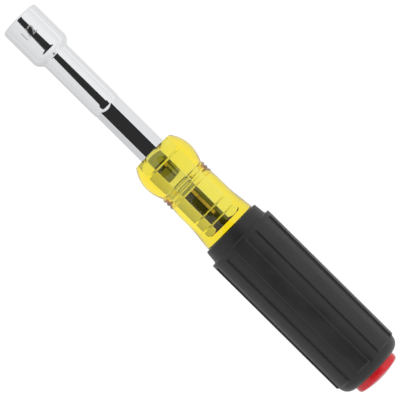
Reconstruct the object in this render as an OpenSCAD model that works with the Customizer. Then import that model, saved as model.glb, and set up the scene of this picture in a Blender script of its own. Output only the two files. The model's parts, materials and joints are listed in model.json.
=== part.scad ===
// Hollow-shaft nut driver with a see-through handle core, a cushioned grip and an end cap.
// The tool lies along X: the socket mouth is at -X, the end cap at +X, and +Z is up.
// The origin is under the middle of the tool, on the surface that it lies on.

/* [Nut socket] */
// Across flats of the nut that the socket turns
nut_af = 12.7; // [10:0.1:18]
// Room between the nut and the socket, across the flats
nut_clearance = 0.15; // [0.05:0.01:0.4]
// Wall of the socket at the corners of its hexagon
socket_wall = 1.63; // [1.2:0.01:3]
// How far the cone that leads a nut in stands outside the hexagon's corners
lead_in_rise = 0.15; // [0.05:0.01:0.4]
// Flat rim left at the mouth around that cone
mouth_rim = 0.25; // [0.1:0.01:0.6]
// Length over which the outside is rounded at the mouth
mouth_round_l = 2.4; // [0.5:0.1:4]
// Depth to which that cone cuts the flats of the hexagon
lead_in_l = 0.8; // [0.3:0.1:2]
// Depth of the hexagon from the mouth to its floor
socket_depth = 13; // [8:0.5:20]
// Ledge on the floor of the hexagon that the nut comes to rest on
floor_ledge = 0.5; // [0.2:0.05:1.2]
// Depth of the cone from that ledge to the bolt bore
floor_cone_l = 1.6; // [0.5:0.1:3]
// Length of the socket behind the floor of its hexagon, up to the shoulder
socket_heel = 6.1; // [4:0.1:12]
// Slope of the shoulder behind the socket, from the axis, in degrees
shoulder_slope = 45; // [30:1:60]

/* [Shaft] */
// Bore that lets the end of a bolt pass up the shaft
bolt_bore_d = 8.7; // [6:0.1:10]
// Wall between the bolt bore and a flat of the drive hexagon
drive_wall = 1.2; // [0.9:0.05:2.5]
// Height of the turned corners of the drive hexagon above its flats
corner_rise = 0.75; // [0.4:0.05:0.85]
// Step from those corners up to the round shaft
shaft_step = 0.25; // [0.1:0.05:0.6]
// Length of the shaft from the mouth to the handle
shaft_l = 77.9; // [66:0.2:160]
// Length of the drive hexagon in front of the handle
bare_drive_l = 25.9; // [8:0.2:32]
// Slope of the shoulder where the drive hexagon starts, from the axis, in degrees
drive_slope = 45; // [20:1:60]
// Length of the shaft held in the handle
tail_l = 42.6; // [30:0.2:60]
// Chamfer at the inner end of the shaft
tail_chamfer = 0.9; // [0.3:0.1:1.5]
// Width of a retaining groove
groove_w = 0.8; // [0.5:0.1:2]
// Depth of a retaining groove below the drive flats
groove_depth = 0.35; // [0.2:0.05:0.6]
// Distance from the handle's front face to the front groove
front_groove_at = 7.2; // [3:0.2:10]
// Distance from the shaft's inner end back to its last groove
rear_groove_at = 3.4; // [2:0.2:8]
// Distance between the two rear grooves
rear_groove_pitch = 5.2; // [3:0.2:10]

/* [Handle core] */
// Wall of the neck over the corners of the drive hexagon
neck_wall = 5.15; // [3:0.05:8]
// Width of the flat front face around the drive hexagon's corners
nose_face_w = 3.4; // [1:0.05:4]
// Rise of the bolster above the neck
bolster_rise = 1.55; // [0.5:0.05:4]
// Length from the front face to the widest place of the bolster
bolster_nose_l = 9.1; // [5:0.1:14]
// Length from the widest place of the bolster to the valley behind it
bolster_back_l = 7.7; // [4:0.1:12]
// Length of the valley between the bolster and the first ring
valley_l = 0.4; // [0.1:0.1:3]
// Depth of the valley below the neck
valley_drop = 0.3; // [0.2:0.05:1.5]
// Number of sharp rings behind the bolster
ring_count = 3; // [1:1:6]
// Distance from one ring to the next
ring_pitch = 1.94; // [1.2:0.02:4]
// Height of a ring above the valley
ring_h = 0.55; // [0.3:0.05:1.5]
// Length of the slope from the last ring up to the neck
neck_lead_l = 3; // [1:0.2:6]
// Length of the plain neck in front of its flare
neck_plain_l = 3.7; // [1:0.1:15]
// Length of the flare from the neck to the grip
flare_l = 15.6; // [6:0.1:30]
// Rise of the flare from the neck to the barrel under the grip
flare_rise = 1.15; // [0.4:0.05:3]

/* [Grip] */
// Length of the grip
grip_l = 83.2; // [60:0.2:120]
// Wall of the collar at its front edge
collar_wall = 1.4; // [1.2:0.05:2.4]
// Rise of the collar from its front edge to the lands
collar_taper = 0.45; // [0.1:0.05:0.5]
// Length of the collar
collar_l = 5.7; // [3:0.1:12]
// Rounding of the collar's front edge
collar_round = 0.6; // [0.2:0.05:1]
// Fillet between the collar and the front ring of the lands
collar_fillet = 0.7; // [0.2:0.05:1.2]
// Wall of the grip under a pocket
grip_wall = 2.85; // [2.7:0.05:6]
// Height of a land above the pockets beside it
land_h = 0.8; // [0.4:0.05:1.5]
// Number of lands
land_count = 8; // [5:1:12]
// Share of the pitch that a land takes up
land_share = 0.54; // [0.3:0.02:0.7]
// Length of the ring that joins the lands at the front
land_ring_l = 2; // [1:0.1:6]
// Length of the slope at the rear end of a land
land_end_l = 0.5; // [0.2:0.1:2]
// Rounding of the grip's rear edge
grip_round = 4.7; // [1:0.1:4.9]

/* [End cap] */
// Diameter of the cap
cap_d = 21; // [12:0.2:23]
// Thickness of the grip's lip between the core's end and the rear face
lip_l = 3.6; // [1.5:0.1:6]
// Straight side of the cap behind the grip's rear face
cap_side_l = 1.9; // [0.2:0.1:4]
// Rounding of the cap's edge
cap_round = 1.4; // [0.5:0.1:3]
// Rise of the cap's domed face above its rounded edge
cap_dome = 1.3; // [0.3:0.1:3]
// Diameter of the stem that plugs into the core
stem_d = 9; // [5:0.2:12]
// Length of the stem
stem_l = 10; // [5:0.5:25]

/* [Fits] */
// Radial clearance of the shaft in the core
shaft_fit = 0.05; // [0.02:0.01:0.2]
// Radial clearance of the core in the grip
grip_fit = 0.05; // [0.02:0.01:0.2]
// Radial clearance of the cap in the grip and of its stem in the core
cap_fit = 0.05; // [0.02:0.01:0.2]
// Clearance where one end seats on another
seat_gap = 0.05; // [0.02:0.01:0.2]

/* [Hidden] */
$fn = 96;
// Straight steps that stand for one rounded stretch of an outline
arc_steps = 12;
// How far a cut runs past the face that it opens
overrun = 1;

// Hexagons: flats face +Z and -Z
hex_sides = 6;
hex_turn = 180 / hex_sides;
function hex_corner(flats) = flats / cos(hex_turn);

// Radii
nut_hex_af = nut_af + nut_clearance;
socket_r = hex_corner(nut_hex_af) / 2 + socket_wall;
mouth_round_r = socket_wall - lead_in_rise - mouth_rim;
bolt_bore_r = bolt_bore_d / 2;
drive_af = bolt_bore_d + 2 * drive_wall;
drive_corner_r = drive_af / 2 + corner_rise;
shaft_r = drive_corner_r + shaft_step;
groove_r = drive_af / 2 - groove_depth;
nose_face_r = drive_corner_r + nose_face_w;
neck_r = drive_corner_r + neck_wall;
bolster_r = neck_r + bolster_rise;
valley_r = neck_r - valley_drop;
ring_r = valley_r + ring_h;
core_r = neck_r + flare_rise;
grip_bore_r = core_r + grip_fit;
collar_r = grip_bore_r + collar_wall;
pocket_r = grip_bore_r + grip_wall;
land_r = pocket_r + land_h;
cap_r = cap_d / 2;
stem_r = stem_d / 2;

// Places along the tool, from the mouth
socket_end = socket_depth + socket_heel;
shoulder_end = socket_end + (socket_r - shaft_r) / tan(shoulder_slope);
drive_start = shaft_l - bare_drive_l;
drive_root_r = (drive_af / 2 + bolt_bore_r) / 2;
drive_root = drive_start + (shaft_r - drive_root_r) / tan(drive_slope);
tail_end = shaft_l + tail_l;
bolster_peak = shaft_l + bolster_nose_l;
valley_start = bolster_peak + bolster_back_l;
rings_start = valley_start + valley_l;
rings_end = rings_start + ring_count * ring_pitch;
neck_start = rings_end + neck_lead_l;
flare_start = neck_start + neck_plain_l;
grip_start = flare_start + flare_l;
lands_start = grip_start + collar_l;
pockets_start = lands_start + land_ring_l;
grip_end = grip_start + grip_l;
lands_end = grip_end - grip_round;
core_end = grip_end - lip_l;
cap_edge = grip_end + cap_side_l;
tool_l = cap_edge + cap_round + cap_dome;
groove_places = [
    shaft_l + front_groove_at,
    tail_end - rear_groove_at - rear_groove_pitch,
    tail_end - rear_groove_at
];

// Outline points are [radius, place along the tool]

// A quarter of an ellipse about a centre, from one angle to another
function bend(centre, radius, length, from, to) = [
    for (i = [0:arc_steps])
        let (a = from + (to - from) * i / arc_steps)
        [centre[0] + radius * cos(a), centre[1] + length * sin(a)]
];

// The radius of an arc that falls by drop over a run, and how far round it that takes
function crown_radius(run, drop) = (run * run + drop * drop) / (2 * drop);
function crown_angle(run, drop) = atan2(run, crown_radius(run, drop) - drop);

// A crown of a turned shape: up to its peak where side is -1, and down from there where it is 1
function crown(peak_r, peak, run, drop, side) = [
    for (i = [side < 0 ? 0 : 1:arc_steps])
        let (step = side < 0 ? arc_steps - i : i)
        let (a = crown_angle(run, drop) * step / arc_steps)
        let (r = crown_radius(run, drop))
        [peak_r - r * (1 - cos(a)), peak + side * r * sin(a)]
];

// A dome from just inside its rim to its top
function dome(radius, rise, top) = [
    for (i = [1:arc_steps])
        let (a = crown_angle(radius, rise) * (1 - i / arc_steps))
        let (r = crown_radius(radius, rise))
        [r * sin(a), top - r * (1 - cos(a))]
];

// Lays a shape that was built up along Z on its surface, along X
module along_tool() {
    translate([-tool_l / 2, 0, land_r])
        rotate([0, 90, 0])
            children();
}

// A round bar between two places
module bar(radius, from, to) {
    translate([0, 0, from])
        cylinder(r = radius, h = to - from);
}

// A cone between two places
module cone(from_r, to_r, from, to) {
    translate([0, 0, from])
        cylinder(r1 = from_r, r2 = to_r, h = to - from);
}

// A hexagon bar between two places
module hex_bar(flats, from, to) {
    translate([0, 0, from])
        rotate(hex_turn)
            cylinder(d = hex_corner(flats), h = to - from, $fn = hex_sides);
}

// A ring groove of the shaft, shrunk by a spare for the rib that fills it
module groove(place, spare) {
    half_w = groove_w / 2 - spare;
    difference() {
        bar(shaft_r + overrun, place - half_w, place + half_w);
        bar(groove_r + spare, place - groove_w - overrun, place + groove_w + overrun);
    }
}

// The drive hexagon up to its inner end, grown by a spare for the hole that holds it
module drive(from, spare, seat) {
    corner_r = drive_corner_r + spare;
    end = tail_end + seat;
    difference() {
        intersection() {
            hex_bar(drive_af + 2 * spare, from, end);
            rotate_extrude()
                polygon([
                    [0, from],
                    [corner_r, from],
                    [corner_r, end - tail_chamfer],
                    [corner_r - tail_chamfer, end],
                    [0, end]
                ]);
        }
        for (place = groove_places)
            groove(place, spare);
    }
}

// Round outside of the shaft, from the mouth to the shoulder of the drive hexagon
module shaft_front() {
    rotate_extrude()
        polygon(concat(
            [[0, 0]],
            bend([socket_r - mouth_round_r, mouth_round_l], mouth_round_r, mouth_round_l, -90, 0),
            [
                [socket_r, socket_end],
                [shaft_r, shoulder_end],
                [shaft_r, drive_start],
                [drive_root_r, drive_root],
                [0, drive_root]
            ]
        ));
}

// Room for the nut and for the bolt behind it
module nut_and_bolt_room() {
    flat_r = nut_hex_af / 2;
    mouth_r = hex_corner(nut_hex_af) / 2 + lead_in_rise;
    lead_in_slope = (mouth_r - flat_r) / lead_in_l;
    hex_bar(nut_hex_af, -overrun, socket_depth);
    cone(mouth_r + overrun * lead_in_slope, flat_r, -overrun, lead_in_l);
    cone(flat_r - floor_ledge, bolt_bore_r, socket_depth, socket_depth + floor_cone_l);
    bar(bolt_bore_r, socket_depth, tail_end + overrun);
}

// Chromed shaft with the nut socket in front and the drive hexagon behind
module socket_shaft() {
    color("silver")
        along_tool()
            difference() {
                union() {
                    shaft_front();
                    drive(drive_start, 0, 0);
                }
                nut_and_bolt_room();
            }
}

// Outline of the handle core from the front face to the grip
core_outline = concat(
    crown(bolster_r, bolster_peak, bolster_nose_l, bolster_r - nose_face_r, -1),
    crown(bolster_r, bolster_peak, bolster_back_l, bolster_r - valley_r, 1),
    [
        for (i = [0:ring_count - 1], top = [0, 1])
            [top ? ring_r : valley_r, rings_start + (i + top / 2) * ring_pitch]
    ],
    [[valley_r, rings_end], [neck_r, neck_start]],
    [
        for (i = [0:arc_steps])
            let (t = i / arc_steps)
            [neck_r + flare_rise * t * t, flare_start + flare_l * t]
    ]
);

// See-through core with the bolster, the rings and the neck, and a plain barrel under the grip
module handle_core() {
    color([0.93, 0.82, 0.12, 0.8])
        along_tool()
            difference() {
                rotate_extrude()
                    polygon(concat(
                        [[0, shaft_l]],
                        core_outline,
                        [[core_r, core_end], [0, core_end]]
                    ));
                drive(shaft_l - overrun, shaft_fit, seat_gap);
                bar(stem_r + cap_fit, core_end - stem_l - seat_gap, core_end + overrun);
            }
}

// One pocket between two lands, cut down to the pocket floor
module pocket() {
    half_angle = 180 / land_count * (1 - land_share);
    reach = land_r + overrun;
    translate([0, 0, pockets_start])
        linear_extrude(height = lands_end + overrun - pockets_start)
            difference() {
                polygon([
                    [0, 0],
                    [reach, -reach * tan(half_angle)],
                    [reach, reach * tan(half_angle)]
                ]);
                circle(r = pocket_r);
            }
}

// Outside of the grip with its lands joined into one ring all round
module grip_body() {
    collar_top_r = collar_r + collar_taper;
    rotate_extrude()
        polygon(concat(
            [[0, grip_start]],
            bend([collar_r - collar_round, grip_start + collar_round], collar_round, collar_round, -90, 0),
            bend([collar_top_r + collar_fillet, lands_start - collar_fillet],
                collar_fillet, collar_fillet, 180, 90),
            [
                [land_r, lands_start],
                [land_r, lands_end - land_end_l]
            ],
            bend([pocket_r - grip_round, lands_end], grip_round, grip_round, 0, 90),
            [[0, grip_end]]
        ));
}

// Rubber sleeve with raised lands, a collar in front and a lip over the rear end of the core
module cushion_grip() {
    color([0.16, 0.16, 0.17])
        along_tool()
            difference() {
                grip_body();
                for (i = [0:land_count - 1])
                    rotate((i + 0.5) * 360 / land_count)
                        pocket();
                bar(grip_bore_r, grip_start - overrun, core_end + seat_gap);
                bar(cap_r + cap_fit, core_end, grip_end + overrun);
            }
}

// Red cap with a domed face and a stem that plugs into the core
module end_cap() {
    color([0.8, 0.1, 0.14])
        along_tool()
            rotate_extrude()
                polygon(concat(
                    [
                        [0, core_end - stem_l],
                        [stem_r, core_end - stem_l],
                        [stem_r, core_end + seat_gap],
                        [cap_r, core_end + seat_gap]
                    ],
                    bend([cap_r - cap_round, cap_edge], cap_round, cap_round, 0, 90),
                    dome(cap_r - cap_round, cap_dome, tool_l)
                ));
}

socket_shaft();
handle_core();
cushion_grip();
end_cap();
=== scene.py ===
import json
import math

import bpy
from bpy.props import FloatProperty, FloatVectorProperty, IntProperty, PointerProperty, StringProperty
from bpy.types import Operator, Panel, PropertyGroup
from mathutils import Matrix, Vector


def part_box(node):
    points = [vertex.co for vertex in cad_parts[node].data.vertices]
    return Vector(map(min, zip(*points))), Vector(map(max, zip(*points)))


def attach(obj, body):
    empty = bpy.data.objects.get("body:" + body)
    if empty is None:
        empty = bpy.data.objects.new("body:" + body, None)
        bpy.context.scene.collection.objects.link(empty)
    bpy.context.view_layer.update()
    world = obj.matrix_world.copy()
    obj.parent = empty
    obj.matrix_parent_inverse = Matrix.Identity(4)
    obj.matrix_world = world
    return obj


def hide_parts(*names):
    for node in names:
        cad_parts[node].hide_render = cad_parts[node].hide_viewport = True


bl_info = {
    "name": "Nut driver",
    "version": (1, 0, 0),
    "blender": (4, 5, 0),
    "location": "3D View > Sidebar > Nut driver",
    "description": "Dresses a hollow-shaft nut driver around its packed solids",
    "category": "Object",
}

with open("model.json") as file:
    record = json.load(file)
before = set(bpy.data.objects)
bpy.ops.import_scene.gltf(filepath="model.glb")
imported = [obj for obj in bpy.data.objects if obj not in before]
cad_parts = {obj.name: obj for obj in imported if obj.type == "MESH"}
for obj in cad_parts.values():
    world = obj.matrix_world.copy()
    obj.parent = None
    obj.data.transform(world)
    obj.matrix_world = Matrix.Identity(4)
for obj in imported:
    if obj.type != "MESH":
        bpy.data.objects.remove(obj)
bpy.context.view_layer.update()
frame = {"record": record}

# Places along the tool are measured from the socket mouth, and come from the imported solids
MM = 0.001
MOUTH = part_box("socket_shaft")[0].x
AXIS_HEIGHT = sum(corner.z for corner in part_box("socket_shaft")) / 2
SHAFT_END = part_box("socket_shaft")[1].x - MOUTH
CORE_FRONT, CORE_END = (corner.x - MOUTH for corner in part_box("handle_core"))
GRIP_FRONT, GRIP_END = (corner.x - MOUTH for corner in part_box("cushion_grip"))
CAP_FRONT, CAP_END = (corner.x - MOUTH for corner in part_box("end_cap"))
MOUNTS = {mount["name"]: mount for mount in frame["record"]["mounts"]}

# Cards over the tool, as seen from the camera: name, outline, what shows them, middle and half
# sizes along the tool and across it, turn and light. The cards glow, and only reflections in the
# chrome and the view through the plastic show them: painted reflections, dark bands in the chrome
# and grey, olive and warm tones in the plastic
DARK = (0.03, 0.03, 0.03)
CARDS = (
    ("dark_front", "round", "chrome", (0, -0.266), (0.237, 0.842), math.radians(6.5), DARK),
    ("dark_tail", "round", "chrome", (-0.72, 0.05), (0.7, 0.42), 0, DARK),
    ("dark_rear", "square", "chrome", (0.21, -0.25), (0.19, 1.0), 0, DARK),
    ("grey_wide", "square", "plastic", (0.2, -0.5), (0.6, 0.8), 0, (0.31, 0.34, 0.33)),
    ("grey_low", "square", "plastic", (-0.196, -0.034), (0.184, 0.334), 0, (0.19, 0.2, 0.17)),
    ("grey_bar", "square", "plastic", (-0.196, -0.406), (0.184, 0.0385), 0, (0.085, 0.09, 0.07)),
    ("dark_bar", "square", "plastic", (-0.196, -0.567), (0.184, 0.029), 0, (0.09, 0.095, 0.07)),
    ("olive_top", "square", "plastic", (0.174, -0.93), (0.186, 0.37), 0, (0.14, 0.15, 0.1)),
    ("dark_core", "square", "plastic", (0.1015, -0.28), (0.1135, 0.28), 0, DARK),
    ("warm_card", "square", "plastic", (0.068, -0.46), (0.072, 0.07), 0, (0.5, 0.37, 0.25)),
)

# Lamps round the tool: name, place and power in watts
LAMPS = (
    ("lamp_far", (0, 1.4, 0.6), 14.0),
    ("lamp_near", (0, -1.4, 0.6), 8.0),
    ("lamp_rear", (1.4, 0, 0.6), 6.0),
)

# Sizes of the floor and of a lamp
FLOOR_RADIUS = 4
LAMP_SIZE = (1.8, 1.0)

# Where the light of the stage changes: up and across the sky, and across the floor, where it is painted
# shade and light that only gloss and the plastic show
SKY_RISE = (0, 0.6)
SKY_SPREAD = (-0.6, 0.6)
FLOOR_FADE = (0.01, 0.15)
FLOOR_MIDDLE = (-0.01, 0.01)
FLOOR_NEAR = (-0.05, 0)

# How finely shapes are made, and at which angle an edge stays sharp
COLUMNS = 192
ARC_STEPS = 8
DOME_STEPS = 12
MARK_STRIPS = 24
CIRCLE_SIDES = 96
SUPPORT = 0.12 * MM
MERGE = 0.0005 * MM
HEX_SIDES = 6
SHARP_ANGLE = math.radians(22)
GRIP_SHARP_ANGLE = math.radians(35)
CAP_SHARP_ANGLE = math.radians(30)


class ShaftSizes(PropertyGroup):
    """Sizes and finish of the chromed shaft"""

    nut_flats: FloatProperty(
        name="Nut flats", description="Across flats of the hexagon that holds the nut",
        default=12.85 * MM, unit="LENGTH")
    nut_depth: FloatProperty(
        name="Nut depth", description="Depth of that hexagon from the mouth",
        default=13 * MM, unit="LENGTH")
    lead_in: FloatProperty(
        name="Lead-in", description="Radius of the cone that leads a nut in, at the mouth",
        default=7.57 * MM, unit="LENGTH")
    lead_in_depth: FloatProperty(
        name="Lead-in depth", description="Depth at which that cone meets the flats",
        default=0.8 * MM, unit="LENGTH")
    floor_radius: FloatProperty(
        name="Floor radius", description="Radius of the cone in the floor of the hexagon",
        default=5.925 * MM, unit="LENGTH")
    floor_depth: FloatProperty(
        name="Floor depth", description="Depth of that cone down to the bolt bore",
        default=1.6 * MM, unit="LENGTH")
    bore: FloatProperty(
        name="Bolt bore", description="Radius of the bore that a bolt's end passes up",
        default=MOUNTS["bolt_bore"]["dims"]["r_mm"] * MM, unit="LENGTH")
    socket_radius: FloatProperty(
        name="Socket radius", description="Outside radius of the socket",
        default=9.049 * MM, unit="LENGTH")
    mouth_rise: FloatProperty(
        name="Mouth rounding", description="Radial size of the rounding at the mouth",
        default=1.0 * MM, unit="LENGTH")
    mouth_run: FloatProperty(
        name="Mouth rounding length", description="Length of the rounding at the mouth",
        default=1.3 * MM, unit="LENGTH")
    socket_end: FloatProperty(
        name="Socket end", description="Place where the shoulder behind the socket starts",
        default=19.1 * MM, unit="LENGTH")
    socket_round: FloatProperty(
        name="Shoulder rounding", description="Rounding from the socket into its shoulder",
        default=3.6 * MM, unit="LENGTH")
    shoulder_fillet: FloatProperty(
        name="Shoulder fillet", description="Fillet from the shoulder into the shaft",
        default=0.6 * MM, unit="LENGTH")
    shaft_radius: FloatProperty(
        name="Shaft radius", description="Radius of the round shaft",
        default=6.55 * MM, unit="LENGTH")
    buffed_start: FloatProperty(
        name="Buffed end", description="Place where the round shaft starts to fall to the drive hexagon",
        default=48.85 * MM, unit="LENGTH")
    buffed_run: FloatProperty(
        name="Buffed length", description="Length of that fall",
        default=2.9 * MM, unit="LENGTH")
    buffed_drop: FloatProperty(
        name="Buffed drop", description="Depth of that fall",
        default=0.29 * MM, unit="LENGTH")
    drive_slope: FloatProperty(
        name="Drive slope", description="Slope from the round shaft down to the drive flats",
        default=math.radians(35), subtype="ANGLE")
    drive_flats: FloatProperty(
        name="Drive flats", description="Across flats of the drive hexagon",
        default=11.1 * MM, unit="LENGTH")
    drive_corner: FloatProperty(
        name="Drive corners", description="Radius of the turned corners of the drive hexagon",
        default=6.3 * MM, unit="LENGTH")
    tail_chamfer: FloatProperty(
        name="Tail chamfer", description="Chamfer at the inner end of the shaft",
        default=0.9 * MM, unit="LENGTH")
    groove_radius: FloatProperty(
        name="Groove radius", description="Radius at the bottom of a retaining groove",
        default=5.2 * MM, unit="LENGTH")
    groove_width: FloatProperty(
        name="Groove width", description="Width of a retaining groove",
        default=0.8 * MM, unit="LENGTH")
    groove_places: FloatVectorProperty(
        name="Grooves", description="Places of the retaining grooves",
        default=(85.1 * MM, 111.9 * MM, 117.1 * MM), unit="LENGTH")
    chrome: FloatVectorProperty(
        name="Chrome", description="Colour of the chrome plate",
        default=(0.83, 0.84, 0.86), subtype="COLOR", min=0, max=1)


class MarkSizes(PropertyGroup):
    """Sizes and finish of the size mark on the socket"""

    words: StringProperty(
        name="Mark", description="Nut size in inches", default="1/2")
    place: FloatProperty(
        name="Place", description="Place of the middle of the mark",
        default=7.6 * MM, unit="LENGTH")
    aside: FloatProperty(
        name="Aside", description="How far the middle of the mark lies to the far side",
        default=0.3 * MM, unit="LENGTH")
    height: FloatProperty(
        name="Height", description="Height of the digits",
        default=4.1 * MM, unit="LENGTH")
    width: FloatProperty(
        name="Width", description="Width of the mark, straight across",
        default=6.0 * MM, unit="LENGTH")
    proud: FloatProperty(
        name="Proud", description="How far the etched skin stands off the plate",
        default=0.012 * MM, unit="LENGTH")
    etch: FloatVectorProperty(
        name="Etch", description="Colour of the etched strokes",
        default=(0.72, 0.71, 0.69), subtype="COLOR", min=0, max=1)


class CoreSizes(PropertyGroup):
    """Sizes and finish of the see-through handle core"""

    nose_radius: FloatProperty(
        name="Nose radius", description="Radius of the flat front face",
        default=9.7 * MM, unit="LENGTH")
    bolster_radius: FloatProperty(
        name="Bolster radius", description="Radius at the widest place of the bolster",
        default=13 * MM, unit="LENGTH")
    bolster_nose: FloatProperty(
        name="Bolster front", description="Length from the front face to that place",
        default=9.1 * MM, unit="LENGTH")
    bolster_back: FloatProperty(
        name="Bolster back", description="Length from that place to the valley",
        default=7.7 * MM, unit="LENGTH")
    valley_radius: FloatProperty(
        name="Valley radius", description="Radius of the valley and between the rings",
        default=11.15 * MM, unit="LENGTH")
    valley_length: FloatProperty(
        name="Valley length", description="Length of the valley in front of the rings",
        default=0.4 * MM, unit="LENGTH")
    ring_radius: FloatProperty(
        name="Ring radius", description="Radius at the crest of a ring",
        default=11.7 * MM, unit="LENGTH")
    ring_pitch: FloatProperty(
        name="Ring pitch", description="Distance from one ring to the next",
        default=1.94 * MM, unit="LENGTH")
    ring_count: IntProperty(
        name="Rings", description="Number of sharp rings", default=3, min=1, max=6)
    ring_round: FloatProperty(
        name="Ring rounding", description="Rounding of the crests and the valleys",
        default=0.12 * MM, unit="LENGTH")
    ring_matte: FloatProperty(
        name="Ring matte", description="How much less polished the rings are",
        default=0.16, min=0, max=1, subtype="FACTOR")
    neck_radius: FloatProperty(
        name="Neck radius", description="Radius of the neck",
        default=11.45 * MM, unit="LENGTH")
    neck_lead: FloatProperty(
        name="Neck lead", description="Length of the slope from the last ring to the neck",
        default=3 * MM, unit="LENGTH")
    neck_plain: FloatProperty(
        name="Plain neck", description="Length of the plain neck in front of its flare",
        default=5.6 * MM, unit="LENGTH")
    flare_lateness: FloatProperty(
        name="Flare lateness", description="How far the rise of the flare is put off towards the grip",
        default=1.2, min=1, max=2)
    barrel_radius: FloatProperty(
        name="Barrel radius", description="Radius of the barrel under the grip",
        default=12.6 * MM, unit="LENGTH")
    stem_hole: FloatProperty(
        name="Stem hole", description="Radius of the hole for the cap's stem",
        default=4.55 * MM, unit="LENGTH")
    bite: FloatProperty(
        name="Bite", description="How far the plastic closes on the steel, so that no air shows",
        default=0.03 * MM, unit="LENGTH")
    end_gap: FloatProperty(
        name="End gap", description="Air left behind the inner end of the shaft",
        default=0.05 * MM, unit="LENGTH")
    tint: FloatVectorProperty(
        name="Tint", description="Colour that light keeps on its way through the plastic",
        default=(0.986, 0.934, 0.02), subtype="COLOR", min=0, max=1)
    tint_density: FloatProperty(
        name="Tint density", description="How soon the other colours are taken out, per metre",
        default=170, min=0)


class GripSizes(PropertyGroup):
    """Sizes and finish of the cushioned grip"""

    bore: FloatProperty(
        name="Bore", description="Radius of the bore that the core fills",
        default=12.65 * MM, unit="LENGTH")
    collar_radius: FloatProperty(
        name="Collar radius", description="Radius of the collar at its front edge",
        default=14.05 * MM, unit="LENGTH")
    collar_rise: FloatProperty(
        name="Collar rise", description="Rise of the collar towards the lands",
        default=0.45 * MM, unit="LENGTH")
    collar_length: FloatProperty(
        name="Collar length", description="Length of the collar",
        default=5.7 * MM, unit="LENGTH")
    collar_round: FloatProperty(
        name="Collar rounding", description="Rounding of the collar's front edge",
        default=0.6 * MM, unit="LENGTH")
    collar_fillet: FloatProperty(
        name="Collar fillet", description="Fillet between the collar and the front ring",
        default=0.7 * MM, unit="LENGTH")
    pocket_radius: FloatProperty(
        name="Pocket radius", description="Radius at the floor of a pocket",
        default=15.5 * MM, unit="LENGTH")
    land_radius: FloatProperty(
        name="Land radius", description="Radius at the top of a land",
        default=16.3 * MM, unit="LENGTH")
    ring_length: FloatProperty(
        name="Front ring", description="Length of the ring that joins the lands",
        default=2 * MM, unit="LENGTH")
    land_count: IntProperty(
        name="Lands", description="Number of raised lands", default=8, min=5, max=12)
    land_columns: IntProperty(
        name="Land columns", description="Columns of faces across a land", default=7, min=3)
    pocket_columns: IntProperty(
        name="Pocket columns", description="Columns of faces across a pocket", default=6, min=2)
    land_slope: FloatProperty(
        name="Land slope", description="Length of the slope at the rear end of a land",
        default=0.5 * MM, unit="LENGTH")
    pocket_corner: FloatProperty(
        name="Pocket corners", description="Rounding of the front corners of a pocket",
        default=0.7 * MM, unit="LENGTH")
    edge_round: FloatProperty(
        name="Edge rounding", description="Rounding of the edges of the lands",
        default=0.38 * MM, unit="LENGTH")
    rear_round: FloatProperty(
        name="Rear rounding", description="Rounding of the grip's rear edge",
        default=4.7 * MM, unit="LENGTH")
    cap_hole: FloatProperty(
        name="Cap hole", description="Radius of the hole that the cap stands in",
        default=10.55 * MM, unit="LENGTH")
    rubber: FloatVectorProperty(
        name="Rubber", description="Colour of the rubber",
        default=(0.02, 0.0197, 0.0201), subtype="COLOR", min=0, max=1)


class CapSizes(PropertyGroup):
    """Sizes and finish of the end cap"""

    radius: FloatProperty(
        name="Radius", description="Radius of the cap",
        default=10.5 * MM, unit="LENGTH")
    stem: FloatProperty(
        name="Stem", description="Radius of the stem that plugs into the core",
        default=4.5 * MM, unit="LENGTH")
    rounding: FloatProperty(
        name="Rounding", description="Rounding of the cap's edge",
        default=1.4 * MM, unit="LENGTH")
    dome: FloatProperty(
        name="Dome", description="Rise of the domed face",
        default=1.3 * MM, unit="LENGTH")
    red: FloatVectorProperty(
        name="Red", description="Colour of the plastic",
        default=(0.72, 0.007, 0.016), subtype="COLOR", min=0, max=1)


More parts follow.
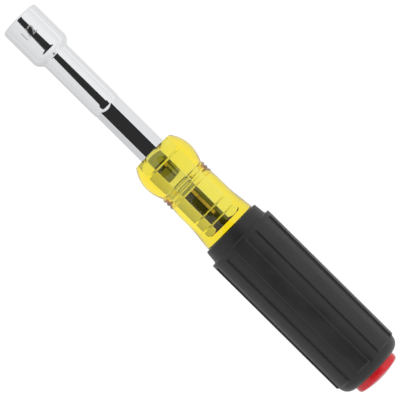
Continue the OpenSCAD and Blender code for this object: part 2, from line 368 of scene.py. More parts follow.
class StageLook(PropertyGroup):
    """View and light of the stage"""

    roll: FloatProperty(
        name="Roll", description="How far the camera leans over to the +Y side",
        default=math.radians(8), subtype="ANGLE")
    slant: FloatProperty(
        name="Slant", description="Slant of the tool in the picture, down to the right",
        default=math.radians(44.68), subtype="ANGLE")
    distance: FloatProperty(
        name="Distance", description="From the camera to the tool",
        default=1.1, unit="LENGTH")
    picture: FloatProperty(
        name="Picture width", description="Width of the picture at the tool",
        default=165.56 * MM, unit="LENGTH")
    centre: FloatVectorProperty(
        name="Centre", description="Middle of the picture, along the tool and across it",
        default=(0.47 * MM, -0.55 * MM), size=2, unit="LENGTH")
    card_height: FloatProperty(
        name="Card height", description="Height of the cards over the tool",
        default=1.3, unit="LENGTH")
    light_bounces: IntProperty(
        name="Light bounces", description="How often light may turn inside the plastic",
        default=40, min=12)
    sky_level: FloatProperty(
        name="Sky level", description="Soft light from all around", default=0.42, min=0)
    sky_seen: FloatVectorProperty(
        name="Seen sky", description="Sky that gloss shows, at the horizon and high up",
        default=(0.87, 0.97), size=2, min=0)
    sky_sides: FloatVectorProperty(
        name="Sky sides", description="Share of that sky on the near side and on the far side",
        default=(0.9, 1.04), size=2, min=0)
    floor_glow: FloatProperty(
        name="Floor glow", description="White of the floor that no shadow takes away",
        default=0.93, min=0, max=1)
    # Painted shade and painted side light on the floor, which only gloss and the plastic show
    mirrored_floor_painted_shade: FloatVectorProperty(
        name="Mirrored floor",
        description="The same where metal and rubber mirror it, beside the tool and far off",
        default=(0.63, 0.77), size=2, min=0)
    floor_painted_side_light: FloatVectorProperty(
        name="Floor sides", description="Share of that floor on the near side and on the far side",
        default=(0.95, 1.17), size=2, min=0)
    floor_through_painted_shade: FloatVectorProperty(
        name="Floor seen through",
        description="The same through the plastic, on the near side and under the tool",
        default=(0.34, 0.97), size=2, min=0)
    # Painted light: a bright strip of floor that only the plastic shows
    painted_bright_strip: FloatVectorProperty(
        name="Bright floor",
        description="Ends of the bright floor beside the bolster, seen through the plastic",
        default=(-17.5 * MM, -8 * MM), size=2, unit="LENGTH")


def clear_selection():
    """Back to object mode with nothing selected"""
    if bpy.context.mode != "OBJECT":
        bpy.ops.object.mode_set(mode="OBJECT")
    bpy.ops.object.select_all(action="DESELECT")


def take(piece):
    """Make one object the only selected and active one"""
    clear_selection()
    piece.select_set(True)
    bpy.context.view_layer.objects.active = piece


def settle():
    """Apply the active object's place, turn and scale to its mesh"""
    bpy.ops.object.transform_apply(location=True, rotation=True, scale=True)


def modify(piece, kind, **settings):
    """Give the active piece a modifier with its settings, and apply it"""
    bpy.ops.object.modifier_add(type=kind)
    added = piece.modifiers[-1]
    for name, value in settings.items():
        setattr(added, name, value)
    bpy.ops.object.modifier_apply(modifier=added.name)


def quarter(centre, radius, run, first, last):
    """Points of an ellipse about a centre, between two angles in degrees"""
    angles = [math.radians(first + (last - first) * step / ARC_STEPS) for step in range(ARC_STEPS + 1)]
    return [(centre[0] + radius * math.cos(a), centre[1] + run * math.sin(a)) for a in angles]


def crown(peak_radius, peak, run, drop, side):
    """Points of an arc that is level at its peak and falls by drop over run, in front of it or behind"""
    radius = (run * run + drop * drop) / (2 * drop)
    whole = math.atan2(run, radius - drop)
    points = []
    for step in range(2 * ARC_STEPS + 1):
        angle = whole * step / (2 * ARC_STEPS)
        points.append((peak_radius - radius * (1 - math.cos(angle)), peak + side * radius * math.sin(angle)))
    return points if side > 0 else points[::-1]


def rounded(corners):
    """Outline of corners given as radius, place and rounding, with a support point by each arc"""
    points = []
    for index, (radius, place, rounding) in enumerate(corners):
        corner = Vector((radius, place))
        if rounding == 0:
            points.append(corner)
            continue
        before = (Vector(corners[index - 1][:2]) - corner).normalized()
        after = (Vector(corners[index + 1][:2]) - corner).normalized()
        half = before.angle(after) / 2
        reach = rounding / math.tan(half)
        centre = corner + (before + after).normalized() * rounding / math.sin(half)
        first = corner + before * reach - centre
        last = corner + after * reach - centre
        arc = [centre + first.slerp(last, step / ARC_STEPS) * rounding for step in range(ARC_STEPS + 1)]
        points += [arc[0] + before * SUPPORT, *arc, arc[-1] + after * SUPPORT]
    return [tuple(point) for point in points]


def close_up():
    """Merge the doubles of the mesh in edit mode, turn its faces outwards and leave edit mode"""
    bpy.ops.mesh.select_all(action="SELECT")
    bpy.ops.mesh.remove_doubles(threshold=MERGE)
    bpy.ops.mesh.normals_make_consistent(inside=False)
    bpy.ops.object.mode_set(mode="OBJECT")


def turn(name, outline, columns=COLUMNS):
    """A closed solid turned about Z from outline points given as radius and place"""
    clear_selection()
    bpy.ops.mesh.primitive_plane_add(size=MM)
    piece = bpy.context.object
    piece.name = piece.data.name = name
    bpy.ops.object.mode_set(mode="EDIT")
    bpy.ops.mesh.select_mode(type="VERT")
    bpy.ops.mesh.select_all(action="SELECT")
    bpy.ops.mesh.merge(type="CENTER")
    here = (0.0, 0.0)
    for index, there in enumerate(outline):
        step = {"value": (there[0] - here[0], 0, there[1] - here[1])}
        if index:
            bpy.ops.mesh.extrude_vertices_move(TRANSFORM_OT_translate=step)
        else:
            bpy.ops.transform.translate(**step)
        here = there
    bpy.ops.mesh.select_all(action="SELECT")
    bpy.ops.mesh.spin(steps=columns, angle=math.tau, center=(0, 0, 0), axis=(0, 0, 1))
    close_up()
    return piece


def cut_flats(piece, flats):
    """Cut the six sides of a hexagon on a turned solid, two of them facing along X"""
    take(piece)
    bpy.ops.object.mode_set(mode="EDIT")
    for side in range(HEX_SIDES):
        angle = math.tau * side / HEX_SIDES
        out = Vector((math.cos(angle), math.sin(angle), 0))
        bpy.ops.mesh.select_all(action="SELECT")
        bpy.ops.mesh.bisect(
            plane_co=out * flats / 2, plane_no=out, use_fill=True, clear_outer=True, threshold=MERGE)
    close_up()


def combine(piece, tool, operation):
    """Join a tool to a piece or cut it away, and remove the tool"""
    take(piece)
    modify(piece, "BOOLEAN", operation=operation, solver="EXACT", object=tool)
    take(tool)
    bpy.ops.object.delete()


def pick(piece, kind, test):
    """Select the faces, edges or vertices whose middle passes a test on radius, angle and place"""
    take(piece)
    bpy.ops.object.mode_set(mode="EDIT")
    bpy.ops.mesh.select_mode(type=kind)
    bpy.ops.mesh.select_all(action="DESELECT")
    bpy.ops.object.mode_set(mode="OBJECT")
    mesh = piece.data
    if kind == "FACE":
        parts = [(face, face.center) for face in mesh.polygons]
    elif kind == "EDGE":
        ends = [[mesh.vertices[end].co for end in edge.vertices] for edge in mesh.edges]
        parts = [(edge, (a + b) / 2) for edge, (a, b) in zip(mesh.edges, ends)]
    else:
        parts = [(vertex, vertex.co) for vertex in mesh.vertices]
    for part, middle in parts:
        part.select = test(math.hypot(middle.x, middle.y), math.atan2(middle.y, middle.x), middle.z)
    bpy.ops.object.mode_set(mode="EDIT")


def lay_down(piece):
    """Lay a piece that was built up along Z in its place along the tool"""
    take(piece)
    piece.rotation_euler = (0, math.pi / 2, 0)
    piece.location = (MOUTH, 0, AXIS_HEIGHT)
    settle()


def dress(piece, finish, node=None):
    """Give a finished piece its material and its body, and hide the node that it stands for"""
    piece.data.materials.clear()
    piece.data.materials.append(finish)
    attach(piece, "root")
    if node:
        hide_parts(node)


def new_finish(name):
    """A new material with its node tree and its shader"""
    finish = bpy.data.materials.new(name)
    finish.use_nodes = True
    return finish, finish.node_tree, finish.node_tree.nodes["Principled BSDF"]


def noise(tree, scale, detail, stretch=(1, 1, 1)):
    """A noise pattern on the piece's own coordinates, stretched along its axes"""
    place = tree.nodes.new("ShaderNodeTexCoord")
    mapping = tree.nodes.new("ShaderNodeMapping")
    mapping.inputs["Scale"].default_value = stretch
    pattern = tree.nodes.new("ShaderNodeTexNoise")
    pattern.inputs["Scale"].default_value = scale
    pattern.inputs["Detail"].default_value = detail
    tree.links.new(place.outputs["Object"], mapping.inputs["Vector"])
    tree.links.new(mapping.outputs["Vector"], pattern.inputs["Vector"])
    return pattern.outputs["Fac"]


def one_of(tree, coordinates, axis):
    """One of the coordinates of a point or of a direction"""
    place = tree.nodes.new("ShaderNodeTexCoord")
    parts = tree.nodes.new("ShaderNodeSeparateXYZ")
    tree.links.new(place.outputs[coordinates], parts.inputs["Vector"])
    return parts.outputs[axis]


def ranged(tree, value, low, high, start=0.3, end=0.7):
    """A value spread from one range over another"""
    spread = tree.nodes.new("ShaderNodeMapRange")
    for name, number in (("From Min", start), ("From Max", end), ("To Min", low), ("To Max", high)):
        spread.inputs[name].default_value = number
    tree.links.new(value, spread.inputs["Value"])
    return spread.outputs["Result"]


def reckon(tree, operation, *values):
    """Patterns put together by a math operation"""
    sums = tree.nodes.new("ShaderNodeMath")
    sums.operation = operation
    for value, socket in zip(values, sums.inputs):
        tree.links.new(value, socket)
    return sums.outputs["Value"]


def coloured(tree, shader, pattern, colour, low, high):
    """A base colour that a pattern takes from a low share of itself to a high one"""
    mix = tree.nodes.new("ShaderNodeMix")
    mix.data_type = "RGBA"
    for name, share in (("A", low), ("B", high)):
        mix.inputs[name].default_value = (*(min(1.0, part * share) for part in colour), 1)
    tree.links.new(pattern, mix.inputs["Factor"])
    tree.links.new(mix.outputs["Result"], shader.inputs["Base Color"])


def bumped(tree, shader, height, strength, depth):
    """A bump from a height pattern"""
    bump = tree.nodes.new("ShaderNodeBump")
    bump.inputs["Strength"].default_value = strength
    bump.inputs["Distance"].default_value = depth
    tree.links.new(height, bump.inputs["Height"])
    tree.links.new(bump.outputs["Normal"], shader.inputs["Normal"])


def chrome_finish(sizes):
    """Bright chrome plate with faint polishing lines round the tool"""
    finish, tree, shader = new_finish("chrome_plate")
    shader.inputs["Metallic"].default_value = 1
    cloud = noise(tree, scale=60, detail=3)
    lines = noise(tree, scale=90, detail=4, stretch=(40, 1, 1))
    coloured(tree, shader, cloud, sizes.chrome, low=0.97, high=1.02)
    tree.links.new(ranged(tree, lines, low=0.025, high=0.06), shader.inputs["Roughness"])
    bumped(tree, shader, lines, strength=0.03, depth=0.002 * MM)
    return finish


def etched_finish(sizes):
    """Matte etched steel of the size mark"""
    finish, tree, shader = new_finish("etched_steel")
    shader.inputs["Metallic"].default_value = 1
    grain = noise(tree, scale=6000, detail=2)
    coloured(tree, shader, grain, sizes.etch, low=0.85, high=1.1)
    tree.links.new(ranged(tree, grain, low=0.42, high=0.6), shader.inputs["Roughness"])
    return finish


def clear_finish(sizes, rings):
    """Polished see-through plastic, tinted in its depth and matte on the rings, given by their two ends"""
    finish, tree, shader = new_finish("clear_yellow_plastic")
    shader.inputs["Base Color"].default_value = (1, 0.985, 0.8, 1)
    shader.inputs["IOR"].default_value = 1.47
    shader.inputs["Transmission Weight"].default_value = 1
    flow = noise(tree, scale=160, detail=2, stretch=(0.35, 1, 1))
    place = one_of(tree, "Object", "X")
    edge = sizes.ring_pitch / 4
    start, end = (MOUTH + ring for ring in rings)
    matte = reckon(
        tree, "MULTIPLY",
        ranged(tree, place, 0, 1, start - edge, start),
        ranged(tree, place, 1, 0, end, end + edge))
    polish = reckon(
        tree, "ADD",
        ranged(tree, flow, low=0.004, high=0.03),
        ranged(tree, matte, 0, sizes.ring_matte, 0, 1))
    tree.links.new(polish, shader.inputs["Roughness"])
    bumped(tree, shader, flow, strength=0.05, depth=0.05 * MM)
    depth = tree.nodes.new("ShaderNodeVolumeAbsorption")
    depth.inputs["Color"].default_value = (*sizes.tint, 1)
    depth.inputs["Density"].default_value = sizes.tint_density
    tree.links.new(depth.outputs["Volume"], tree.nodes["Material Output"].inputs["Volume"])
    return finish


def rubber_finish(sizes):
    """Matte moulded rubber with a fine grain, and a soft cloud in its colour and gloss"""
    finish, tree, shader = new_finish("moulded_rubber")
    grain = noise(tree, scale=2600, detail=3)
    cloud = noise(tree, scale=150, detail=4, stretch=(0.5, 1, 1))
    coloured(tree, shader, cloud, sizes.rubber, low=0.6, high=1.45)
    tree.links.new(ranged(tree, cloud, low=0.35, high=0.5), shader.inputs["Roughness"])
    shader.inputs["Specular IOR Level"].default_value = 0.36
    shader.inputs["Sheen Weight"].default_value = 0.08
    shader.inputs["Sheen Roughness"].default_value = 0.35
    bumped(tree, shader, grain, strength=0.2, depth=0.02 * MM)
    return finish


def red_finish(sizes):
    """Glossy moulded plastic with a faint flow in its colour"""
    finish, tree, shader = new_finish("red_plastic")
    cloud = noise(tree, scale=220, detail=3)
    coloured(tree, shader, cloud, sizes.red, low=0.93, high=1.07)
    tree.links.new(ranged(tree, cloud, low=0.14, high=0.22), shader.inputs["Roughness"])
    bumped(tree, shader, cloud, strength=0.03, depth=0.02 * MM)
    return finish


def by_ray(tree, soft, mirrored, through, straight):
    """Levels, as numbers or patterns, of soft light and of what gloss, plastic and the camera show"""
    path = tree.nodes.new("ShaderNodeLightPath")
    level = soft
    for ray, shown in (("Glossy", mirrored), ("Transmission", through), ("Camera", straight)):
        mix = tree.nodes.new("ShaderNodeMix")
        tree.links.new(path.outputs[f"Is {ray} Ray"], mix.inputs["Factor"])
        for name, value in (("A", level), ("B", shown)):
            if isinstance(value, bpy.types.NodeSocket):
                tree.links.new(value, mix.inputs[name])
            else:
                mix.inputs[name].default_value = value
        level = mix.outputs["Result"]
    return level


def floor_finish(look):
    """White floor that keeps a faint shadow; what gloss and the plastic see of it carries painted shade,
    darker beside the tool and on the near side, and a painted bright strip beside the bolster
    """
    finish, tree, shader = new_finish("white_floor")
    shader.inputs["Base Color"].default_value = (0.16, 0.16, 0.16, 1)
    shader.inputs["Roughness"].default_value = 1
    shader.inputs["Specular IOR Level"].default_value = 0
    shader.inputs["Emission Color"].default_value = (1, 1, 1, 1)
    across = one_of(tree, "Object", "Y")
    along = one_of(tree, "Object", "X")
    start, end = look.painted_bright_strip
    # Painted shade and painted side light in the floor that gloss shows: darker beside the tool and on the
    # near side
    mirrored = reckon(
        tree, "MULTIPLY",
        ranged(tree, reckon(tree, "ABSOLUTE", across), *look.mirrored_floor_painted_shade, *FLOOR_FADE),
        ranged(tree, across, *look.floor_painted_side_light, *FLOOR_MIDDLE))
    # Painted light: a bright strip beside the bolster that only the view through the plastic shows
    bright = reckon(
        tree, "MULTIPLY",
        ranged(tree, along, 0, look.floor_through_painted_shade[1], start - MM, start + MM),
        ranged(tree, along, 1, 0, end - MM, end + MM))
    # Painted shade: the floor seen through the plastic is darker on the near side
    through = reckon(tree, "MAXIMUM", ranged(tree, across, *look.floor_through_painted_shade, *FLOOR_NEAR), bright)
    glow = by_ray(tree, 0, mirrored, through, look.floor_glow)
    tree.links.new(glow, shader.inputs["Emission Strength"])
    return finish


def painted_reflection_finish(name, light):
    """A glowing card that only gloss and see-through plastic show: a painted reflection"""
    finish, _, shader = new_finish(name)
    shader.inputs["Base Color"].default_value = (0, 0, 0, 1)
    shader.inputs["Specular IOR Level"].default_value = 0
    shader.inputs["Emission Color"].default_value = (*light, 1)
    shader.inputs["Emission Strength"].default_value = 1
    return finish


def drive_bar(name, sizes, front, end, spare):
    """The drive hexagon with its grooves and chamfer, grown all over by a spare"""
    radius = sizes.drive_corner + spare
    bar = turn(name, [
        (0, front),
        (radius, front),
        (radius, end - sizes.tail_chamfer),
        (radius - sizes.tail_chamfer, end),
        (0, end)])
    cut_flats(bar, sizes.drive_flats + 2 * spare)
    half = sizes.groove_width / 2
    outside = 2 * sizes.drive_corner
    for place in sizes.groove_places:
        if place > front:
            outline = quarter((sizes.groove_radius + half, place), half - spare, half - spare, 270, 90)
            outline += [(outside, place + half - spare), (outside, place - half + spare), outline[0]]
            combine(bar, turn("groove", outline), "DIFFERENCE")
    return bar


class NUT_DRIVER_OT_make_shaft(Operator):
    """Make the chromed shaft with its socket, its bore and its drive hexagon"""

    bl_idname = "nut_driver.make_shaft"
    bl_label = "Make the shaft"

    def execute(self, context):
        sizes = context.scene.nut_driver_shaft
        overrun = 5 * MM
        overlap = 2 * MM
        root_wall = 0.6 * MM
        slope_round = 0.4 * MM
        slope_points = 4
        buffed_end = sizes.buffed_start + sizes.buffed_run
        buffed_radius = sizes.shaft_radius - sizes.buffed_drop
        root_drop = buffed_radius - sizes.bore - root_wall
        root_end = buffed_end + root_drop / math.tan(sizes.drive_slope)
        shoulder_end = sizes.socket_end + sizes.socket_radius - sizes.shaft_radius
        # The rounding at the top of the slope takes the place of the last points of the fall
        fall = crown(sizes.shaft_radius, sizes.buffed_start, sizes.buffed_run, sizes.buffed_drop, 1)
        fall = fall[:-slope_points]
        outline = [(0, 0)]
        outline += quarter(
            (sizes.socket_radius - sizes.mouth_rise, sizes.mouth_run),
            sizes.mouth_rise, sizes.mouth_run, -90, 0)
        outline += rounded([
            (sizes.socket_radius, sizes.mouth_run + SUPPORT, 0),
            (sizes.socket_radius, sizes.socket_end, sizes.socket_round),
            (sizes.shaft_radius, shoulder_end, sizes.shoulder_fillet),
            (*fall[0], 0)])
        outline += fall[1:]
        outline += rounded([
            (*fall[-1], 0),
            (buffed_radius, buffed_end, slope_round),
            (buffed_radius - root_drop, root_end, 0)])[1:]
        outline += [(0, root_end)]
        shaft = turn("nut_driver_shaft", outline)
        combine(shaft, drive_bar("drive", sizes, buffed_end - overlap, SHAFT_END, 0), "UNION")
        floor = sizes.nut_depth + sizes.floor_depth
        slope = (sizes.lead_in - sizes.nut_flats / 2) / sizes.lead_in_depth
        room = turn("room", [
            (0, -overrun),
            (sizes.lead_in + overrun * slope, -overrun),
            (sizes.nut_flats / 2, sizes.lead_in_depth),
            (sizes.floor_radius, sizes.lead_in_depth),
            (sizes.floor_radius, sizes.nut_depth),
            (sizes.bore, floor),
            (sizes.bore, SHAFT_END + overrun),
            (0, SHAFT_END + overrun)])
        combine(shaft, room, "DIFFERENCE")
        nut = turn("nut", [
            (0, -overrun),
            (sizes.nut_flats, -overrun),
            (sizes.nut_flats, sizes.nut_depth),
            (0, sizes.nut_depth)])
        cut_flats(nut, sizes.nut_flats)
        combine(shaft, nut, "DIFFERENCE")
        take(shaft)
        bpy.ops.object.shade_smooth_by_angle(angle=SHARP_ANGLE)
        lay_down(shaft)
        dress(shaft, chrome_finish(sizes), "socket_shaft")
        return {"FINISHED"}


class NUT_DRIVER_OT_make_mark(Operator):
    """Make the etched size mark on top of the socket"""

    bl_idname = "nut_driver.make_mark"
    bl_label = "Make the size mark"

    def execute(self, context):
        sizes = context.scene.nut_driver_mark
        shaft = bpy.data.objects["nut_driver_shaft"]
        clear_selection()
        bpy.ops.object.text_add()
        mark = context.object
        mark.name = mark.data.name = "size_mark"
        mark.data.body = sizes.words
        mark.data.align_x = "CENTER"
        mark.data.align_y = "CENTER"
        mark.data.resolution_u = 6
        bpy.ops.object.convert(target="MESH")
        mark = context.object
        mark.scale = (sizes.width / mark.dimensions.x, sizes.height / mark.dimensions.y, 1)
        settle()
        low = Vector(min(v.co[i] for v in mark.data.vertices) for i in range(3))
        high = Vector(max(v.co[i] for v in mark.data.vertices) for i in range(3))
        bpy.ops.object.mode_set(mode="EDIT")
        bpy.ops.mesh.select_all(action="SELECT")
        bpy.ops.transform.translate(value=-(low + high) / 2)
        for step in range(-MARK_STRIPS // 2, MARK_STRIPS // 2 + 1):
            bpy.ops.mesh.select_all(action="SELECT")
            bpy.ops.mesh.bisect(
                plane_co=(step * sizes.width / MARK_STRIPS, 0, 0), plane_no=(1, 0, 0), threshold=MERGE)
        bpy.ops.object.mode_set(mode="OBJECT")
        mark.rotation_euler = (0, 0, math.pi / 2)
        mark.location = (MOUTH + sizes.place, sizes.aside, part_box("socket_shaft")[1].z + MM)
        settle()
        modify(
            mark, "SHRINKWRAP", wrap_method="PROJECT", use_project_z=True, use_negative_direction=True,
            use_positive_direction=False, offset=sizes.proud, target=shaft)
        modify(mark, "SOLIDIFY", thickness=3 * sizes.proud, offset=-1)
        bpy.ops.object.shade_smooth_by_angle(angle=SHARP_ANGLE)
        dress(mark, etched_finish(sizes))
        return {"FINISHED"}


class NUT_DRIVER_OT_make_core(Operator):
    """Make the see-through core with its bolster, rings and neck"""

    bl_idname = "nut_driver.make_core"
    bl_label = "Make the handle core"

    def execute(self, context):
        sizes = context.scene.nut_driver_core
        shaft = context.scene.nut_driver_shaft
        nose_round = 0.6 * MM
        nose_points = 2
        neck_round = 4 * MM
        peak = CORE_FRONT + sizes.bolster_nose
        valley = peak + sizes.bolster_back
        rings = valley + sizes.valley_length
        rings_end = rings + sizes.ring_count * sizes.ring_pitch
        neck = rings_end + sizes.neck_lead
        flare = neck + sizes.neck_plain
        front = crown(
            sizes.bolster_radius, peak, sizes.bolster_nose, sizes.bolster_radius - sizes.nose_radius, -1)
        back = crown(
            sizes.bolster_radius, peak, sizes.bolster_back, sizes.bolster_radius - sizes.valley_radius, 1)
        # The rounding of the nose takes the place of the first points of the bolster
        nose_end = front[nose_points]
        outline = [(0, CORE_FRONT)]
        outline += rounded([(0, CORE_FRONT, 0), (*front[0], nose_round), (*nose_end, 0)])[1:-1]
        outline += front[nose_points:] + back[1:-1]
        corners = [(*back[-2], 0), (sizes.valley_radius, valley, sizes.ring_round)]
        for ring in range(sizes.ring_count):
            start = rings + ring * sizes.ring_pitch
            corners += [
                (sizes.valley_radius, start, sizes.ring_round if ring else 0),
                (sizes.ring_radius, start + sizes.ring_pitch / 2, sizes.ring_round)]
        corners += [
            (sizes.valley_radius, rings_end, sizes.ring_round),
            (sizes.neck_radius, neck, neck_round),
            (sizes.neck_radius, flare, 0)]
        outline += rounded(corners)[1:]
        rise = sizes.barrel_radius - sizes.neck_radius
        for step in range(1, 2 * ARC_STEPS + 1):
            share = step / (2 * ARC_STEPS)
            late = share ** sizes.flare_lateness
            radius = sizes.neck_radius + rise * late ** 2 * (3 - 2 * late)
            outline.append((radius, flare + (GRIP_FRONT - flare) * share))
        outline += [
            (sizes.barrel_radius, CORE_END),
            (sizes.stem_hole, CORE_END),
            (sizes.stem_hole, CAP_FRONT - sizes.end_gap),
            (0, CAP_FRONT - sizes.end_gap)]
        core = turn("nut_driver_core", outline)
        hole = drive_bar("hole", shaft, CORE_FRONT - MM, SHAFT_END + sizes.end_gap, -sizes.bite)
        combine(core, hole, "DIFFERENCE")
        take(core)
        bpy.ops.object.shade_smooth_by_angle(angle=SHARP_ANGLE)
        lay_down(core)
        dress(core, clear_finish(sizes, (rings, rings_end)), "handle_core")
        return {"FINISHED"}


class NUT_DRIVER_OT_make_grip(Operator):
    """Make the rubber sleeve with its collar, its lands and its pockets"""

    bl_idname = "nut_driver.make_grip"
    bl_label = "Make the grip"

    def execute(self, context):
        sizes = context.scene.nut_driver_grip
        lands = GRIP_FRONT + sizes.collar_length
        pockets = lands + sizes.ring_length
        lands_end = GRIP_END - sizes.rear_round
        collar_top = sizes.collar_radius + sizes.collar_rise
        outline = [(sizes.bore, GRIP_FRONT)]
        outline += quarter(
            (sizes.collar_radius - sizes.collar_round, GRIP_FRONT + sizes.collar_round),
            sizes.collar_round, sizes.collar_round, -90, 0)
        outline += quarter(
            (collar_top + sizes.collar_fillet, lands - sizes.collar_fillet),
            sizes.collar_fillet, sizes.collar_fillet, 180, 90)
        outline += [(sizes.pocket_radius, lands), (sizes.pocket_radius, pockets)]
        outline += quarter(
            (sizes.pocket_radius - sizes.rear_round, lands_end), sizes.rear_round, sizes.rear_round, 0, 90)
        outline += [
            (sizes.cap_hole, GRIP_END),
            (sizes.cap_hole, CORE_END),
            (sizes.bore, CORE_END),
            (sizes.bore, GRIP_FRONT)]
        pitch = math.tau / sizes.land_count
        columns = sizes.land_columns + sizes.pocket_columns
        column = pitch / columns
        half_land = column * sizes.land_columns / 2
        grip = turn("nut_driver_grip", outline, sizes.land_count * columns)
        take(grip)
        grip.rotation_euler = (0, 0, half_land)
        settle()

        def from_land(angle):
            return abs((angle + pitch / 2) % pitch - pitch / 2)

        fine = 0.05 * MM

        def raised(radius, angle, place):
            outside = radius > sizes.pocket_radius - fine and lands + fine < place < lands_end - fine
            return outside and (place < pockets or from_land(angle) < half_land)

        def rear_top(radius, angle, place):
            return radius > sizes.land_radius - fine and abs(place - lands_end) < fine

        def pocket_front_corner(radius, angle, place):
            between = sizes.pocket_radius + fine < radius < sizes.land_radius - fine
            return between and abs(place - pockets) < fine and abs(from_land(angle) - half_land) < column / 4

        pick(grip, "FACE", raised)
        bpy.ops.mesh.extrude_region_move()
        grow = sizes.land_radius / sizes.pocket_radius
        bpy.ops.transform.resize(value=(grow, grow, 1), center_override=(0, 0, 0))
        pick(grip, "VERT", rear_top)
        bpy.ops.transform.translate(value=(0, 0, -sizes.land_slope))
        pick(grip, "EDGE", pocket_front_corner)
        bpy.ops.mesh.bevel(offset=sizes.pocket_corner, segments=4, affect="EDGES", clamp_overlap=False)
        bpy.ops.object.mode_set(mode="OBJECT")
        modify(
            grip, "BEVEL", width=sizes.edge_round, segments=3, limit_method="ANGLE",
            angle_limit=math.radians(40), use_clamp_overlap=False, harden_normals=False)
        bpy.ops.object.shade_smooth_by_angle(angle=GRIP_SHARP_ANGLE)
        modify(grip, "WEIGHTED_NORMAL", keep_sharp=True)
        lay_down(grip)
        dress(grip, rubber_finish(sizes), "cushion_grip")
        return {"FINISHED"}


class NUT_DRIVER_OT_make_cap(Operator):
    """Make the domed end cap with its stem"""

    bl_idname = "nut_driver.make_cap"
    bl_label = "Make the end cap"

    def execute(self, context):
        sizes = context.scene.nut_driver_cap
        seat = 0.05 * MM
        stem_round = 0.4 * MM
        edge = CAP_END - sizes.dome - sizes.rounding
        rim = sizes.radius - sizes.rounding
        outline = [(0, CAP_FRONT)]
        outline += rounded([
            (0, CAP_FRONT, 0),
            (sizes.stem, CAP_FRONT, stem_round),
            (sizes.stem, CORE_END + seat, 0),
            (sizes.radius, CORE_END + seat, 0)])[1:]
        outline += quarter((rim, edge), sizes.rounding, sizes.rounding, 0, 90)
        for step in range(1, DOME_STEPS + 1):
            out = 1 - step / DOME_STEPS
            outline.append((rim * out, CAP_END - sizes.dome * out ** 2))
        cap = turn("nut_driver_cap", outline)
        take(cap)
        bpy.ops.object.shade_smooth_by_angle(angle=CAP_SHARP_ANGLE)
        lay_down(cap)
        dress(cap, red_finish(sizes), "end_cap")
        return {"FINISHED"}


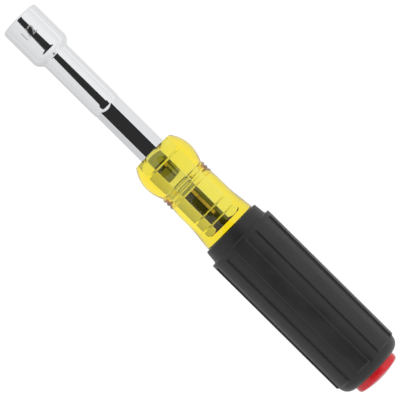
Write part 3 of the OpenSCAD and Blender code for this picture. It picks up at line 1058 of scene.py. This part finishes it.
class NUT_DRIVER_OT_make_stage(Operator):
    """Make the floor, the light and the camera"""

    bl_idname = "nut_driver.make_stage"
    bl_label = "Make the stage"

    def execute(self, context):
        look = context.scene.nut_driver_stage
        toward = Vector((0, math.sin(look.roll), math.cos(look.roll)))
        across = Vector((0, math.cos(look.roll), -math.sin(look.roll)))
        along = Vector((1, 0, 0))
        right = along * math.cos(look.slant) + across * math.sin(look.slant)
        up = across * math.cos(look.slant) - along * math.sin(look.slant)
        aim = Vector((look.centre[0], 0, AXIS_HEIGHT)) + across * look.centre[1]

        clear_selection()
        bpy.ops.object.camera_add(location=aim + toward * look.distance)
        camera = context.object
        camera.name = "camera"
        camera.rotation_euler = Matrix((right, up, toward)).transposed().to_euler()
        camera.data.lens = camera.data.sensor_width * look.distance / look.picture
        context.scene.camera = camera

        clear_selection()
        bpy.ops.mesh.primitive_circle_add(vertices=CIRCLE_SIDES, radius=FLOOR_RADIUS, fill_type="NGON")
        floor = context.object
        floor.name = "floor"
        floor.data.materials.append(floor_finish(look))

        # Glowing cards that only gloss and the plastic see: painted reflections
        for layer, (name, outline, shown_by, middle, reach, turned, light) in enumerate(CARDS):
            clear_selection()
            if outline == "round":
                bpy.ops.mesh.primitive_circle_add(vertices=CIRCLE_SIDES, radius=1, fill_type="NGON")
            else:
                bpy.ops.mesh.primitive_plane_add(size=2)
            card = context.object
            card.name = name
            card.scale = (*reach, 1)
            height = look.card_height - layer * MM
            card.location = aim + along * middle[0] + across * middle[1] + toward * height
            card.rotation_euler = Matrix((along, across, toward)).transposed().to_euler()
            card.rotation_euler.rotate(Matrix.Rotation(turned, 3, toward))
            card.data.materials.append(painted_reflection_finish(name, light))
            card.visible_camera = False
            card.visible_diffuse = False
            card.visible_shadow = False
            card.visible_glossy = shown_by == "chrome"
            card.visible_transmission = shown_by == "plastic"

        for name, place, power in LAMPS:
            clear_selection()
            bpy.ops.object.light_add(type="AREA", location=place)
            lamp = context.object
            lamp.name = name
            lamp.data.shape = "RECTANGLE"
            lamp.data.size, lamp.data.size_y = LAMP_SIZE
            lamp.data.energy = power
            lamp.rotation_euler = (aim - lamp.location).to_track_quat("-Z", "Y").to_euler()
            lamp.visible_camera = False
            lamp.visible_glossy = False
            lamp.visible_transmission = False

        world = bpy.data.worlds.new("studio")
        context.scene.world = world
        world.use_nodes = True
        tree = world.node_tree
        sky = tree.nodes["Background"]
        rise = ranged(tree, one_of(tree, "Generated", "Z"), *look.sky_seen, *SKY_RISE)
        side = ranged(tree, one_of(tree, "Generated", "Y"), *look.sky_sides, *SKY_SPREAD)
        seen = reckon(tree, "MULTIPLY", rise, side)
        tree.links.new(by_ray(tree, look.sky_level, seen, seen, 1), sky.inputs["Strength"])
        sky.inputs["Color"].default_value = (1, 1, 1, 1)
        context.scene.view_settings.view_transform = "Standard"
        for kind in ("max", "glossy", "transmission"):
            setattr(context.scene.cycles, f"{kind}_bounces", look.light_bounces)
        return {"FINISHED"}


class NUT_DRIVER_PT_panel(Panel):
    """Sizes, finishes and steps of the nut driver"""

    bl_label = "Nut driver"
    bl_idname = "NUT_DRIVER_PT_panel"
    bl_space_type = "VIEW_3D"
    bl_region_type = "UI"
    bl_category = "Nut driver"

    def draw(self, context):
        for group, step in zip(GROUPS, STEPS):
            box = self.layout.box()
            box.operator(step.bl_idname)
            settings = getattr(context.scene, group)
            for name in settings.__annotations__:
                box.prop(settings, name)


GROUPS = {
    "nut_driver_shaft": ShaftSizes,
    "nut_driver_mark": MarkSizes,
    "nut_driver_core": CoreSizes,
    "nut_driver_grip": GripSizes,
    "nut_driver_cap": CapSizes,
    "nut_driver_stage": StageLook,
}
STEPS = (
    NUT_DRIVER_OT_make_shaft,
    NUT_DRIVER_OT_make_mark,
    NUT_DRIVER_OT_make_core,
    NUT_DRIVER_OT_make_grip,
    NUT_DRIVER_OT_make_cap,
    NUT_DRIVER_OT_make_stage,
)


def register():
    for group in (*GROUPS.values(), *STEPS, NUT_DRIVER_PT_panel):
        bpy.utils.register_class(group)
    for name, group in GROUPS.items():
        setattr(bpy.types.Scene, name, PointerProperty(type=group))


def unregister():
    for name in GROUPS:
        delattr(bpy.types.Scene, name)
    for group in reversed((*GROUPS.values(), *STEPS, NUT_DRIVER_PT_panel)):
        bpy.utils.unregister_class(group)


def main():
    register()
    bpy.ops.nut_driver.make_shaft()
    bpy.ops.nut_driver.make_mark()
    bpy.ops.nut_driver.make_core()
    bpy.ops.nut_driver.make_grip()
    bpy.ops.nut_driver.make_cap()
    bpy.ops.nut_driver.make_stage()


if __name__ == "__main__":
    main()
